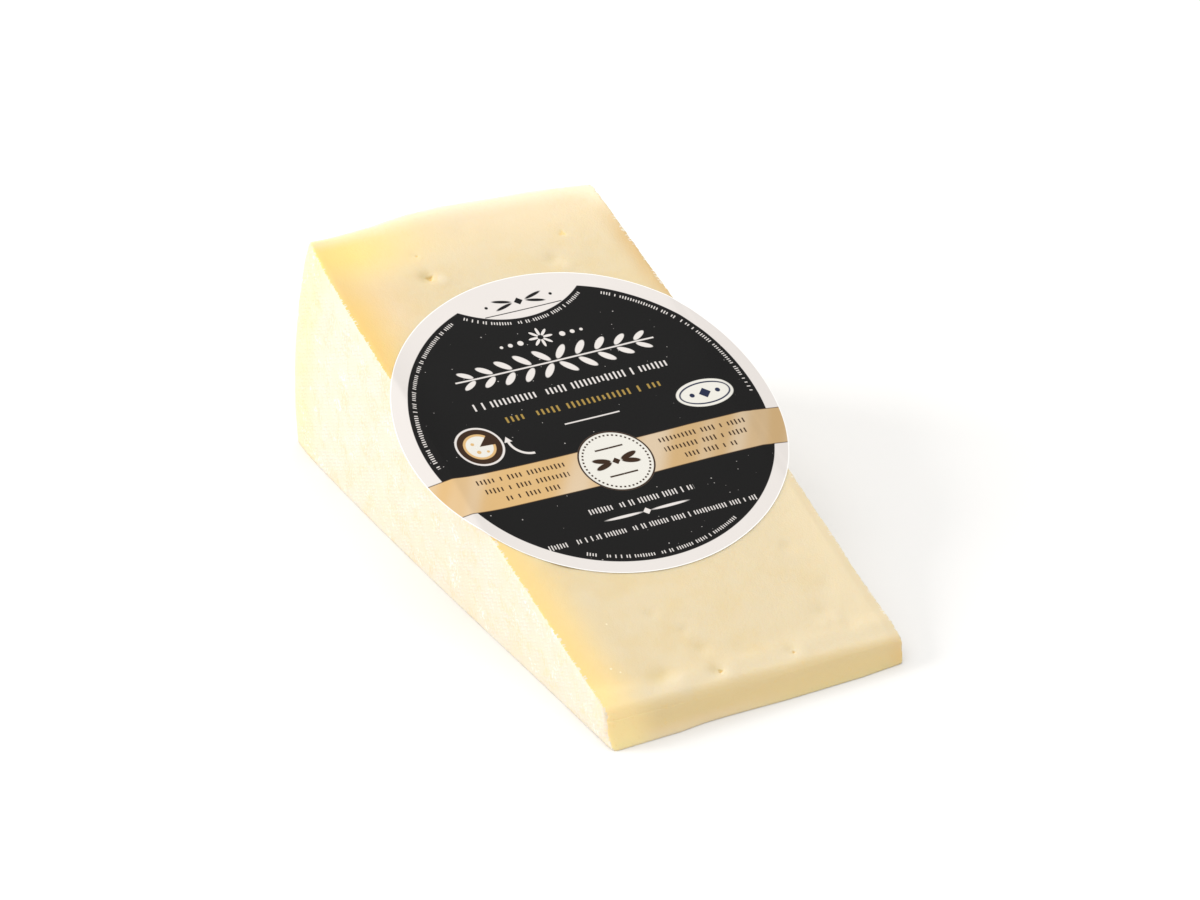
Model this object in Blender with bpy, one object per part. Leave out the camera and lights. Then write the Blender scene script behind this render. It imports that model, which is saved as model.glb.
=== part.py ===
"""A wedge of raclette cheese lying on one cut face, with a round paper label on its top.

The wedge is a sector of a wheel. The wheel's axis runs across the wedge, parallel to X, so the
wheel's two flat faces are the wedge's left and right sides, its rim is the back and its cut-off
tip is the low front. Metres, +Z up, standing on z = 0.
"""

import math

import bmesh
import bpy
from mathutils import Matrix, Vector

MM = 0.001
FACING = 0.9  # a face looks forwards or up when its normal points there by more than this

# The wheel and the wedge cut from it
WHEEL_RADIUS = 165.6 * MM
WEDGE_ANGLE = math.radians(19.39)
TIP_RADIUS = 16.7 * MM  # from the wheel's centre to the foot of the front cut
TOP_ROLL = -0.030  # the top falls this much per unit across, from left to right
RIM_BOW = 2.0 * MM  # how far the middle of the rim stands out past its corners
RIM_FULLNESS = 2.2  # a higher power keeps more of the rim straight
RIM_PIECES = 12
CORNER_LENGTH = 14.0 * MM  # the sides turn in over this length towards the rim
CORNER_DEPTH = 1.3 * MM
CORNER_TURNS = (25, 45, 62, 75, 84, 90)  # degrees along the corner's quarter oval
SPIN_STEPS = 14
SPIN_SPARE = math.radians(6.5)  # spun past the wedge angle, so the top cut has something to trim

# Half widths of the cut face: radius from the wheel's centre, left, right
HALF_WIDTHS = (
    (8.0, 33.2, 36.6),
    (29.0, 34.1, 36.8),
    (62.0, 35.7, 37.0),
    (96.0, 36.9, 37.0),
    (124.0, 37.6, 36.0),
    (149.6, 37.75, 34.95),
)

# The front cut
FRONT_LEAN = math.radians(14.5)
FRONT_ROUND = 2.6 * MM  # radius of its top edge
FOOT_HEIGHT = 1.4 * MM  # the paste flares forward below this height
FOOT_REACH = 1.2 * MM
FOOT_LEVELS = (0.3, 0.6, 1.0)  # shares of the foot's height where its curve has points
SIDE_LEAN = 0.045  # the right side stands in at its foot by this share of its half width

# The label, in its own flat outline: U across, V towards the rim
LABEL_RADIUS = 44.45 * MM
LABEL_CENTRE = (0.9 * MM, 96.7 * MM)  # across, and from the wheel's centre along the top
LABEL_THICKNESS = 0.25 * MM
LABEL_GAP = 0.3 * MM
LABEL_SIDES = 96
LEFT_CREASES = (-38.4 * MM, -39.6 * MM, -40.8 * MM)
RIGHT_CREASES = (35.4 * MM, 36.6 * MM, 37.8 * MM)
LEFT_DROOP = math.radians(9.0)
RIGHT_DROOP = math.radians(11.0)

AXIS = Vector((0.0, -(WHEEL_RADIUS + TIP_RADIUS) / 2, 0.0))  # a point on the wheel's axis
TOP_NORMAL = Vector((-TOP_ROLL, -math.tan(WEDGE_ANGLE), 1.0)).normalized()


def clear_scene():
    for obj in list(bpy.data.objects):
        bpy.data.objects.remove(obj)


def material(name, colour, roughness):
    made = bpy.data.materials.new(name)
    made.use_nodes = True
    shader = made.node_tree.nodes["Principled BSDF"]
    shader.inputs["Base Color"].default_value = (*colour, 1.0)
    shader.inputs["Roughness"].default_value = roughness
    made.diffuse_color = (*colour, 1.0)
    return made


def finish(bm, name, slot):
    """The bmesh as a named object."""
    mesh = bpy.data.meshes.new(name)
    bm.to_mesh(mesh)
    bm.free()
    mesh.materials.append(slot)
    obj = bpy.data.objects.new(name, mesh)
    bpy.context.collection.objects.link(obj)
    return obj


def face_outline():
    """The cut face's outline as (across, radius), from the tip up the left side and down the right."""
    side_end = WHEEL_RADIUS - RIM_BOW
    left = [(-lw * MM, r * MM) for r, lw, _ in HALF_WIDTHS]
    right = [(rw * MM, r * MM) for r, _, rw in HALF_WIDTHS]
    for side, sign in ((left, -1), (right, 1)):
        edge = side[-1][0]
        for turn in map(math.radians, CORNER_TURNS):
            inward = CORNER_DEPTH * (1 - math.cos(turn))
            side.append((edge - sign * inward, side_end - CORNER_LENGTH * (1 - math.sin(turn))))
    start, end = left[-1][0], right[-1][0]
    rim = []
    for i in range(1, RIM_PIECES):
        share = i / RIM_PIECES
        fall = abs(2 * share - 1) ** RIM_FULLNESS
        rim.append((start + (end - start) * share, side_end + RIM_BOW * (1 - fall)))
    return left + rim + right[::-1]


def cut(bm, point, normal):
    """Cuts away what lies on the normal's side of the plane, and closes the cut."""
    whole = bm.verts[:] + bm.edges[:] + bm.faces[:]
    cut_away = bmesh.ops.bisect_plane(
        bm, geom=whole, plane_co=point, plane_no=normal, dist=1e-7, clear_outer=True
    )
    rim = [e for e in cut_away["geom_cut"] if isinstance(e, bmesh.types.BMEdge)]
    bmesh.ops.edgenet_fill(bm, edges=rim)


def lean_right_side(bm):
    """Leans the right side inwards towards the floor, more the lower a point lies under the top."""
    for vert in bm.verts:
        if vert.co.x > 0:
            top = math.tan(WEDGE_ANGLE) * (vert.co.y - AXIS.y) + TOP_ROLL * vert.co.x
            vert.co.x *= 1 - SIDE_LEAN * (1 - min(1.0, vert.co.z / top))


def flare_foot(bm):
    """Lets the lowest strip of the front cut run forward, as paste does under a knife."""
    front = [f for f in bm.faces if f.normal.y < -FACING]
    edges = {e for f in front for e in f.edges}
    verts = {v for f in front for v in f.verts}
    for share in FOOT_LEVELS:
        level = Vector((0.0, 0.0, FOOT_HEIGHT * share))
        found = bmesh.ops.bisect_plane(
            bm, geom=list(verts) + list(edges) + front, plane_co=level, plane_no=(0, 0, 1)
        )["geom"]
        front = [g for g in found if isinstance(g, bmesh.types.BMFace)]
        edges = {e for f in front for e in f.edges}
        verts = {v for f in front for v in f.verts}
    for vert in verts:
        drop = max(0.0, 1 - vert.co.z / FOOT_HEIGHT)
        vert.co.y -= FOOT_REACH * drop**2


def build_cheese(slot):
    bm = bmesh.new()
    outline = [bm.verts.new((x, AXIS.y + r, 0.0)) for x, r in face_outline()]
    sector = bm.faces.new(outline)
    bmesh.ops.spin(
        bm,
        geom=[sector],
        cent=AXIS,
        axis=(1, 0, 0),
        angle=WEDGE_ANGLE + SPIN_SPARE,
        steps=SPIN_STEPS,
        use_duplicate=False,
    )
    bmesh.ops.recalc_face_normals(bm, faces=bm.faces)
    cut(bm, AXIS, TOP_NORMAL)
    front_foot = AXIS + Vector((0.0, TIP_RADIUS, 0.0))
    cut(bm, front_foot, Vector((0.0, -math.cos(FRONT_LEAN), math.sin(FRONT_LEAN))))
    bmesh.ops.recalc_face_normals(bm, faces=bm.faces)
    edge = [
        e
        for e in bm.edges
        if len(e.link_faces) == 2
        and min(f.normal.y for f in e.link_faces) < -FACING
        and max(f.normal.z for f in e.link_faces) > FACING
    ]
    bmesh.ops.bevel(
        bm, geom=edge, offset=FRONT_ROUND, segments=5, profile=0.5, affect="EDGES"
    )
    bmesh.ops.recalc_face_normals(bm, faces=bm.faces)
    flare_foot(bm)
    lean_right_side(bm)
    bmesh.ops.recalc_face_normals(bm, faces=bm.faces)
    return finish(bm, "cheese", slot)


def fold(bm, creases, droop):
    """Turns the lobe beyond these lines down, by an equal share of the angle at each line."""
    sign = 1 if creases[0] > 0 else -1
    for place in creases:
        whole = bm.verts[:] + bm.edges[:] + bm.faces[:]
        bmesh.ops.bisect_plane(bm, geom=whole, plane_co=(place, 0, 0), plane_no=(1, 0, 0))
    turn = Matrix.Rotation(sign * droop / len(creases), 3, "Y")
    for place in reversed(creases):
        outside = [v for v in bm.verts if v.co.x * sign > abs(place) + 1e-6]
        bmesh.ops.rotate(bm, verts=outside, cent=(place, 0, 0), matrix=turn)


def build_label(slot):
    bm = bmesh.new()
    bmesh.ops.create_circle(bm, cap_ends=True, radius=LABEL_RADIUS, segments=LABEL_SIDES)
    fold(bm, LEFT_CREASES, LEFT_DROOP)
    fold(bm, RIGHT_CREASES, RIGHT_DROOP)
    across = Vector((1.0, 0.0, TOP_ROLL)).normalized()
    along = TOP_NORMAL.cross(across).normalized()
    frame = Matrix((across, along, TOP_NORMAL)).transposed()
    tip_to_centre = Vector((0.0, math.cos(WEDGE_ANGLE), math.sin(WEDGE_ANGLE)))
    centre = AXIS + tip_to_centre * LABEL_CENTRE[1] + across * LABEL_CENTRE[0]
    for vert in bm.verts:
        vert.co = centre + frame @ vert.co + TOP_NORMAL * LABEL_GAP
    bmesh.ops.recalc_face_normals(bm, faces=bm.faces)
    if sum((f.normal * f.calc_area() for f in bm.faces), Vector()).z < 0:
        bmesh.ops.reverse_faces(bm, faces=bm.faces)
    obj = finish(bm, "label", slot)
    thicken = obj.modifiers.new("paper", "SOLIDIFY")
    thicken.thickness = LABEL_THICKNESS
    thicken.offset = 1.0
    return obj


def centre_on_footprint(objects):
    """Moves the meshes so that the origin is the middle of the base of the whole."""
    bpy.context.view_layer.update()
    graph = bpy.context.evaluated_depsgraph_get()
    points = []
    for obj in objects:
        mesh = obj.evaluated_get(graph).to_mesh()
        points += [v.co.copy() for v in mesh.vertices]
        obj.evaluated_get(graph).to_mesh_clear()
    middle_x = (min(p.x for p in points) + max(p.x for p in points)) / 2
    middle_y = (min(p.y for p in points) + max(p.y for p in points)) / 2
    for obj in objects:
        obj.data.transform(Matrix.Translation((-middle_x, -middle_y, 0.0)))
    print("moved by", round(-middle_x * 1000, 3), round(-middle_y * 1000, 3), "mm")


clear_scene()
paste = material("cheese_paste", (0.86, 0.68, 0.38), 0.45)
paper = material("label_paper", (0.85, 0.83, 0.80), 0.4)
cheese = build_cheese(paste)
label = build_label(paper)
centre_on_footprint([cheese, label])
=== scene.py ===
# %% [markdown]
# # A wedge of raclette with its paper label
#
# Raclette is a low, drum-shaped cheese. A shop cuts it into wedges, lays a wedge on one of its two
# cut faces, trims the thin tip and sticks a round label on top. So there are two pieces to make:
# the cheese and the label. The solids that carry the sizes are loaded first and stay as they are.
# Each piece below is a finer copy of one solid, in the same place, with the look of the real thing.

# %% Load the solids
import math

import bpy
import numpy as np
from mathutils import Matrix, Vector, noise


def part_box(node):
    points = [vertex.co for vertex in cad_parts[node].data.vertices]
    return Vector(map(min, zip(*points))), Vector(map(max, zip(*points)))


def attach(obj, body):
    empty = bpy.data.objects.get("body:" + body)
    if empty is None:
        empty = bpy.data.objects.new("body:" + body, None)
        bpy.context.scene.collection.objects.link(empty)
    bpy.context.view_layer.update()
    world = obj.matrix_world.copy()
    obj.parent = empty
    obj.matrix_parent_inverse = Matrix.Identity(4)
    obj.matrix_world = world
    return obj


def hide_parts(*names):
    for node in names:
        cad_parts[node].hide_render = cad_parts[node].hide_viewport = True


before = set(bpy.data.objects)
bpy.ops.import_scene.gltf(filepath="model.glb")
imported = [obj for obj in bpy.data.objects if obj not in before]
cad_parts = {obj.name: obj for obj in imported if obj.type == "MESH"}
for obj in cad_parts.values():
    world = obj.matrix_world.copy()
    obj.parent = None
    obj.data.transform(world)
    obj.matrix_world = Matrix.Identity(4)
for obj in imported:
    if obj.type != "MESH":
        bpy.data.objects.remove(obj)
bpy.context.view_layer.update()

MM = 0.001

# %% [markdown]
# ## Where the wheel was
#
# The wedge is a sector of a wheel that lies on its side: the wheel's axis runs from left to right,
# its two flat faces are the wedge's sides and its round edge is the high back. All sizes follow
# from the wheel's radius and the angle of the cut, so the axis is found first, from the solid's box:
# the back stands one radius behind the axis. Sizes are in millimetres until they reach a mesh.

# %% The wheel's sizes
WHEEL_RADIUS = 165.6
WEDGE_ANGLE = math.radians(19.39)
TIP_RADIUS = 16.7  # from the axis to the foot of the trimmed tip
HALF_WIDTHS = (  # how far the two sides stand from the middle: radius, left, right
    (8.0, 33.4, 37.5),
    (29.0, 34.2, 37.2),
    (62.0, 35.7, 37.0),
    (96.0, 36.9, 37.0),
    (124.0, 37.6, 36.0),
    (149.6, 37.75, 34.95),
)
WIDEST_LEFT = 37.75

cheese_low, cheese_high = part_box("cheese")
AXIS_Y = cheese_high.y / MM - WHEEL_RADIUS
MIDDLE_X = cheese_low.x / MM + WIDEST_LEFT
print(f"the wheel's axis is at y = {AXIS_Y:.2f} mm, the wedge's middle at x = {MIDDLE_X:.2f} mm")

# %% [markdown]
# ## A plain sector with a fine skin
#
# The knife marks, dents and worn edges are small, so the mesh needs cells well under a millimetre,
# in even rows that can be pushed about without tearing. A voxel remesh would soften the crisp edge
# between paste and rind. Instead a grid is laid in the lower cut face and spun about the wheel's
# axis: one spin puts a turned copy on top, and a second spin, of the outline alone, makes the walls.

# %% Helpers for meshes and edit mode
def deselect_all():
    for obj in bpy.context.selected_objects:
        obj.select_set(False)


def coordinates(obj):
    """The mesh's points in millimetres, one row each."""
    flat = np.empty(len(obj.data.vertices) * 3)
    obj.data.vertices.foreach_get("co", flat)
    return flat.reshape(-1, 3) / MM


def move_to(obj, places):
    obj.data.vertices.foreach_set("co", (places * MM).ravel())
    obj.data.update()


def of_faces(obj, name):
    """A vector of every face, such as its centre or its normal, one row each."""
    flat = np.empty(len(obj.data.polygons) * 3)
    obj.data.polygons.foreach_get(name, flat)
    return flat.reshape(-1, 3)


def select_only(obj, kind, chosen):
    """Selects these faces or vertices alone, and opens edit mode on them."""
    mesh = obj.data
    for part in (mesh.vertices, mesh.edges, mesh.polygons):
        part.foreach_set("select", np.zeros(len(part), bool))
    part = {"FACE": mesh.polygons, "VERT": mesh.vertices}[kind]
    part.foreach_set("select", chosen)
    bpy.ops.object.mode_set(mode="EDIT")
    bpy.ops.mesh.select_mode(type=kind)


# %% A grid, and its two spins
ACROSS_CELLS = 120
LONG_CELLS = 236
TURN_CELLS = 62
PLAIN_HALF_WIDTH = 37.0
HALF_LENGTH = (WHEEL_RADIUS - TIP_RADIUS) / 2
about_axis = {"angle": WEDGE_ANGLE, "center": (0, 0, 0), "axis": (-1, 0, 0)}

deselect_all()
bpy.ops.mesh.primitive_grid_add(x_subdivisions=ACROSS_CELLS, y_subdivisions=LONG_CELLS, size=2 * MM)
wedge = bpy.context.object
wedge.name = wedge.data.name = "wedge"
bpy.ops.object.mode_set(mode="EDIT")
bpy.ops.transform.resize(value=(PLAIN_HALF_WIDTH, HALF_LENGTH, 1))
bpy.ops.transform.translate(value=(0, (TIP_RADIUS + HALF_LENGTH) * MM, 0))
bpy.ops.mesh.spin(steps=1, dupli=True, **about_axis)
bpy.ops.object.mode_set(mode="OBJECT")

select_only(wedge, "FACE", np.abs(of_faces(wedge, "center")[:, 2]) < 0.001 * MM)
bpy.ops.mesh.region_to_loop()
bpy.ops.mesh.spin(steps=TURN_CELLS, **about_axis)
bpy.ops.mesh.select_all(action="SELECT")
bpy.ops.mesh.remove_doubles(threshold=0.01 * MM)
bpy.ops.mesh.normals_make_consistent(inside=False)
bpy.ops.object.mode_set(mode="OBJECT")

# The face that the wedge lies on is flat. Away from the rind, its cells become one face.
FOOT_RING = 11.0
centre = of_faces(wedge, "center") / MM
inner = (np.abs(centre[:, 0]) < PLAIN_HALF_WIDTH - FOOT_RING) & (centre[:, 1] < WHEEL_RADIUS - FOOT_RING)
select_only(wedge, "FACE", inner & (of_faces(wedge, "normal")[:, 2] < -0.999))
bpy.ops.mesh.dissolve_faces()
bpy.ops.object.mode_set(mode="OBJECT")
print("plain sector:", len(wedge.data.polygons), "faces")

# %% [markdown]
# ## From the plain sector to the real outline
#
# Every point of the sector has three numbers: its share of the way across, along and up the turn.
# The real wedge is the same sector with its walls moved: the sides open a little from tip to rim and
# turn in at the rim, the rim bows out, the tip is a slanted cut. Writing each wall as a function of
# those three numbers moves the whole mesh at once, with no seams. The rows are also drawn together
# near the edges, where the shape turns fastest.

# %% The three shares of every point
def gathered(share, strength):
    """Moves evenly spaced rows towards both ends of 0 to 1."""
    return share - strength * np.sin(2 * math.pi * share) / (2 * math.pi)


plain = coordinates(wedge)
plain_radius = np.hypot(plain[:, 1], plain[:, 2])
across = 2 * gathered((plain[:, 0] / PLAIN_HALF_WIDTH + 1) / 2, 0.35) - 1
along = gathered((plain_radius - TIP_RADIUS) / (WHEEL_RADIUS - TIP_RADIUS), 0.3)
turned = gathered(np.arctan2(plain[:, 2], plain[:, 1]) / WEDGE_ANGLE, 0.5)

# %% Moving the walls
RIM_BOW = 2.0
RIM_FULLNESS = 2.2
CORNER_LENGTH = 14.0
CORNER_DEPTH = 1.3
FRONT_LEAN = math.radians(14.5)
TOP_ROLL = -0.030  # the top falls this much per unit across
SIDE_LEAN = 0.045  # the right side stands in at its foot by this share of its half width
BELLY = ((0, 0.4), (0.15, 0.9), (0.5, 1.2), (0.9, 0.7), (1, 0.2))  # share of the turn, bulge
BELLY_ALONG = ((0, 0.8), (0.2, 0.4), (0.6, 0.6), (1, 1.0))  # share of the length, of that bulge
TIP_FLARE = (0.2, 0.65)  # the right side stands out at the tip, above and more at its foot
TIP_FLARE_LENGTH = 0.15  # share of the length
RIM_SWELL = ((-40, 0), (-21, 0.1), (-11, 1.1), (-2, 1.1), (7, 0.5), (20, 0.3), (40, 0))
SWELL_HEIGHT = 0.6  # what the swell of the rim is worth in millimetres, outwards and upwards

widths = np.array(HALF_WIDTHS)
left_curve = np.polyfit(widths[:, 0], widths[:, 1], 3)
right_curve = np.polyfit(widths[:, 0], widths[:, 2], 3)
side_end = WHEEL_RADIUS - RIM_BOW


def half_width(radius, curve):
    """Distance from the middle to a side, with the side's turn towards the rim."""
    turn = np.clip((radius - side_end + CORNER_LENGTH) / CORNER_LENGTH, 0, 1)
    wide = np.polyval(curve, np.clip(radius, widths[0, 0], widths[-1, 0]))
    return wide - CORNER_DEPTH * (1 - np.sqrt(1 - turn**2))


angle = turned * WEDGE_ANGLE
front_radius = TIP_RADIUS / (np.cos(angle) - math.tan(FRONT_LEAN) * np.sin(angle))
rim_radius = side_end + RIM_BOW * (1 - np.abs(across) ** RIM_FULLNESS)
rim_radius += SWELL_HEIGHT * np.interp(across * WIDEST_LEFT, *zip(*RIM_SWELL)) * turned
radius = front_radius + (rim_radius - front_radius) * along
left_side = half_width(radius, left_curve)
left_side += np.interp(turned, *zip(*BELLY)) * np.interp(along, *zip(*BELLY_ALONG))
right_side = half_width(radius, right_curve) * (1 - SIDE_LEAN * (1 - turned))
at_tip = np.clip(1 - along / TIP_FLARE_LENGTH, 0, 1)
right_side += at_tip * (TIP_FLARE[0] + TIP_FLARE[1] * (1 - turned))
x = np.where(across < 0, across * left_side, across * right_side)
height = radius * np.sin(angle) + TOP_ROLL * x * turned
shape = np.stack([x, radius * np.cos(angle), height], axis=1)
print("walls moved:", round(float(np.ptp(x)), 1), "mm wide,", round(float(height.max()), 1), "mm high")

# %% [markdown]
# ## Rounded edges
#
# No edge of a soft cheese is sharp. A Bevel would have to be wider than the cells beside the edge, so
# the edges are rounded in another way: a point that is nearer than the radius to both faces of an
# edge moves onto the circle that touches both. The front's top edge has sagged most, into a broad
# crest. The sides are rounded against the front, the crest and the top as if these were one bent
# face, because the corners would be pulled in twice if they were rounded against each alone.

# %% Rounding
TOP_NORMAL = np.array([-TOP_ROLL, -math.tan(WEDGE_ANGLE), 1.0])
TOP_NORMAL /= np.linalg.norm(TOP_NORMAL)
FRONT_NORMAL = np.array([0.0, -math.cos(FRONT_LEAN), math.sin(FRONT_LEAN)])
NORMALS = {
    "left": np.array([-1.0, 0, 0]),
    "right": np.array([1.0, 0, 0]),
    "down": np.array([0, 0, -1.0]),
    "rim": np.array([0, 1.0, 0]),
    "top": TOP_NORMAL,
    "front": FRONT_NORMAL,
}
depth = {
    "left": x + left_side,
    "right": right_side - x,
    "down": height.copy(),
    "rim": rim_radius - radius,
    "top": -(shape @ TOP_NORMAL),
    "front": TIP_RADIUS * FRONT_NORMAL[1] - shape @ FRONT_NORMAL,
}


def toward_edge(one, other, size):
    """Where a point lies in the rounding of an edge: in it or not, how far out, and which way."""
    first, second = NORMALS[one], NORMALS[other]
    lean = (first * second).sum(-1)
    a, b = size - depth[one], size - depth[other]
    to_first, to_second = (a - lean * b) / (1 - lean**2), (b - lean * a) / (1 - lean**2)
    far = np.sqrt(np.maximum(a * to_first + b * to_second, 1e-12))
    outward = (to_first[:, None] * first + to_second[:, None] * second) / far[:, None]
    return (a > 0) & (b > 0) & (to_first > 0) & (to_second > 0), far, outward


# %% The front, the crest and the top as one face
CREST = 3.3
LEFT_EDGE = ((0.35, 0.4), (0.95, 1.3))  # how much the face looks forwards, the edge's radius
on_crest, far, outward = toward_edge("front", "top", CREST)
flat_normal = np.where((depth["front"] < depth["top"])[:, None], FRONT_NORMAL, TOP_NORMAL)
flat_depth = np.minimum(depth["front"], depth["top"])
NORMALS["cap"] = np.where(on_crest[:, None], outward, flat_normal)
depth["cap"] = np.maximum(np.where(on_crest, CREST - far, flat_depth), 0)
left_edge = np.interp(-NORMALS["cap"][:, 1], *zip(*LEFT_EDGE))
print("crest:", int(on_crest.sum()), "points")

# %% Rounding the edges
ROUNDINGS = (  # two faces and the radius of the edge between them
    ("front", "top", CREST),
    ("left", "rim", 1.4),
    ("right", "rim", 1.4),
    ("top", "rim", 0.9),
    ("cap", "left", left_edge),
    ("cap", "right", 0.45),
    ("front", "down", 0.35),
    ("down", "left", 0.3),
    ("down", "right", 1.0),
    ("down", "rim", 0.8),
)
for one, other, size in ROUNDINGS:
    in_edge, far, outward = toward_edge(one, other, size)
    shape -= (in_edge * np.maximum(far - size, 0))[:, None] * outward
print("rounded", len(ROUNDINGS), "edges")

# %% [markdown]
# ## What the knife and the weight did
#
# The cut top isn't a plane. It dishes a little, it stands up along the left edge where the drier
# rind holds it, it is worn down along the right edge, and it swells just before the front edge.
# These slow shapes are kept in one function, because the label lies on them too. Only the cheese
# gets the finer unevenness: lumps a few millimetres long, folds that a cloth pressed into the rind
# and a ragged line where rind meets paste.

# %% The slow shape of the top
DISH = 0.45
DISH_PLACE = -8.0
EDGE_RISE = 0.9
EDGE_RISE_LENGTH = 9.0
EDGE_WEAR = 0.17  # the slope of the worn edge on the right
EDGE_WEAR_FROM = 34.6
EDGE_WEAR_LENGTH = 2.2
SWELL = 0.30
SWELL_PLACE = 5.0  # behind the front edge
SWELL_LENGTH = 2.4
TOP_FRONT = 19.5  # the front edge's distance from the axis, along the top
WAVES = 0.10


def bumps(places, size, seed, octaves=2):
    """Smooth noise from about -1 to 1 with features this many millimetres wide."""
    scaled = places / size + seed * 17.3
    return np.array([noise.fractal(Vector(p), 1.0, 2.0, octaves) for p in scaled])


def top_relief(u, v):
    """How far the top stands above its plane: u across from the middle, v out from the axis."""
    dish = np.clip(1 - ((u - DISH_PLACE) / 29) ** 2, 0, 1) * np.clip((v - TOP_FRONT) / 30, 0, 1)
    rise = np.clip(1 - (u + WIDEST_LEFT - 0.8) / EDGE_RISE_LENGTH, 0, 1) ** 2
    rise *= np.interp(v, (20, 40, 70, 100), (0.2, 0.6, 0.65, 1.0))
    wear = np.clip(u - EDGE_WEAR_FROM, 0, EDGE_WEAR_LENGTH)
    swell = np.exp(-(((v - TOP_FRONT - SWELL_PLACE) / SWELL_LENGTH) ** 2))
    waves = bumps(np.stack([u, v, 0 * u], axis=1), 15, 1)
    back = SWELL_HEIGHT * np.interp(u, *zip(*RIM_SWELL)) * np.clip((v - 150) / 14, 0, 1) ** 2
    relief = EDGE_RISE * rise - DISH * dish - EDGE_WEAR * wear
    return relief + SWELL * swell + WAVES * waves + back


# %% Lumps in the paste and in the rind
on_top = np.clip(1 - depth["top"] / 5, 0, 1)
on_left = np.clip(1 - depth["left"] / 0.8, 0, 1)
on_right = np.clip(1 - depth["right"] / 0.8, 0, 1)
on_rim = np.clip(1 - depth["rim"] / 0.8, 0, 1)
on_front = np.clip(1 - depth["front"] / 1.5, 0, 1)
off_floor = np.clip(depth["down"] / 3, 0, 1)
top_u = shape[:, 0].copy()
top_v = np.hypot(shape[:, 1], shape[:, 2])

slow = top_relief(top_u, top_v) + 0.035 * bumps(shape, 4, 2)
shape += (on_top * slow)[:, None] * TOP_NORMAL
shape += (on_front * off_floor * 0.10 * bumps(shape, 8, 3))[:, None] * FRONT_NORMAL
lumps = 0.12 * bumps(shape, 9, 4) + 0.05 * bumps(shape, 2.6, 5, 3)
for side, share in (("left", on_left), ("right", on_right), ("rim", on_rim)):
    shape += (share * off_floor * lumps)[:, None] * NORMALS[side]

# %% The foot of the front, which the knife dragged forwards
FOOT_HEIGHT = 4.0
FOOT_REACH = (  # place across, how far forwards
    (-36, 1.3),
    (-18, 1.3),
    (-12, 0.7),
    (-6, 0.7),
    (8, 1.2),
    (26, 1.1),
    (36, 0.4),
)
drag = np.clip(1 - depth["down"] / FOOT_HEIGHT, 0, 1) ** 1.6 * np.clip(1 - depth["front"] / 2.5, 0, 1)
shape[:, 1] -= np.interp(shape[:, 0], *zip(*FOOT_REACH)) * drag
print("foot dragged forwards by up to", max(reach for _, reach in FOOT_REACH), "mm")

# %% A ragged line where rind meets paste
near_top = np.clip(1 - depth["top"] / 0.7, 0, 1)
ragged = bumps(shape * np.array([0.2, 1, 1]), 0.9, 6, 2)
shape[:, 0] += 0.16 * near_top * ragged * (on_right - on_left)
shape[:, 2] += 0.10 * near_top * np.maximum(ragged, -0.3) * (on_right + on_left)

# %% Put the wedge in its place
shape += np.array([MIDDLE_X, AXIS_Y, 0])
move_to(wedge, shape)
print("wedge from", coordinates(wedge).min(0).round(2), "to", coordinates(wedge).max(0).round(2))

# %% [markdown]
# ## What the finish has to know about the mesh
#
# Paste near the rind is drier and yellower, and rind is pale with the print of a cloth. The material
# finds both from two numbers at each point: how deep the point lies under the nearer side and under
# the rim. They are stored as attributes of the mesh. The cloth's print needs flat coordinates on
# each wall, so the walls get a UV map in millimetres, laid out along and up the sides, and across
# and up the rim.

# %% Depth under the rind
def store(obj, name, values):
    made = obj.data.attributes.new(name, "FLOAT", "POINT")
    made.data.foreach_set("value", np.asarray(values, np.float32))


store(wedge, "under_side", np.minimum(depth["left"], depth["right"]))
store(wedge, "under_rim", depth["rim"])

# %% [markdown]
# ## Eyes and dents
#
# Small gas holes were cut open, and the paste sank in round them. Each is a shallow dimple with a
# hole at its deeper end. The cells there are too large for a hole a millimetre wide, so the faces
# around each one are subdivided first, and then their points are pushed in.

# %% Where they are on the top: u, v, hole radius, hole depth, then the dimple's shift, radius, depth
EYES = (
    (-14.8, 146.4, 0.58, 0.55, -0.7, 0.3, 3.1, 0.46),
    (-14.8, 153.3, 0.26, 0.2, -0.6, 0.6, 2.4, 0.13),
    (-5.2, 23.1, 0.38, 0.35, -0.9, 0.8, 3.2, 0.34),
    (12.4, 22.8, 0.28, 0.3, -0.6, 1.1, 2.8, 0.23),
    (20.4, 150.2, 0.70, 0.2, 0.1, 0.5, 2.2, 0.07),
)
DIMPLES = (  # u, v, radius, depth, which is negative for a small mound beside a dimple
    (-12.7, 145.1, 2.6, -0.22),
    (-3.5, 21.7, 2.4, -0.16),
    (14.3, 22.0, 2.4, -0.13),
    (14.8, 143.6, 3.0, 0.30),
    (16.6, 141.0, 2.8, -0.14),
    (-6.0, 30.4, 3.2, 0.24),
    (-4.5, 28.0, 2.6, -0.10),
    (-7.4, 36.1, 2.0, 0.22),
    (-12.2, 42.2, 2.2, 0.22),
    (-20.2, 25.6, 4.0, 0.26),
    (-17.2, 26.1, 3.4, 0.28),
    (-15.0, 22.6, 4.0, -0.26),
    (23.8, 31.3, 3.0, 0.20),
    (22.6, 28.6, 2.6, -0.12),
    (25.8, 28.4, 2.8, -0.12),
    (27.6, 25.7, 2.6, 0.16),
    (31.0, 24.4, 3.4, -0.05),
    (25.4, 50.1, 2.4, 0.20),
    (2.0, 27.0, 3.6, 0.12),
    (-24.0, 60.0, 4.5, 0.16),
    (28.5, 38.0, 3.5, 0.14),
    (-2.0, 157.0, 4.0, 0.12),
)


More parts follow.
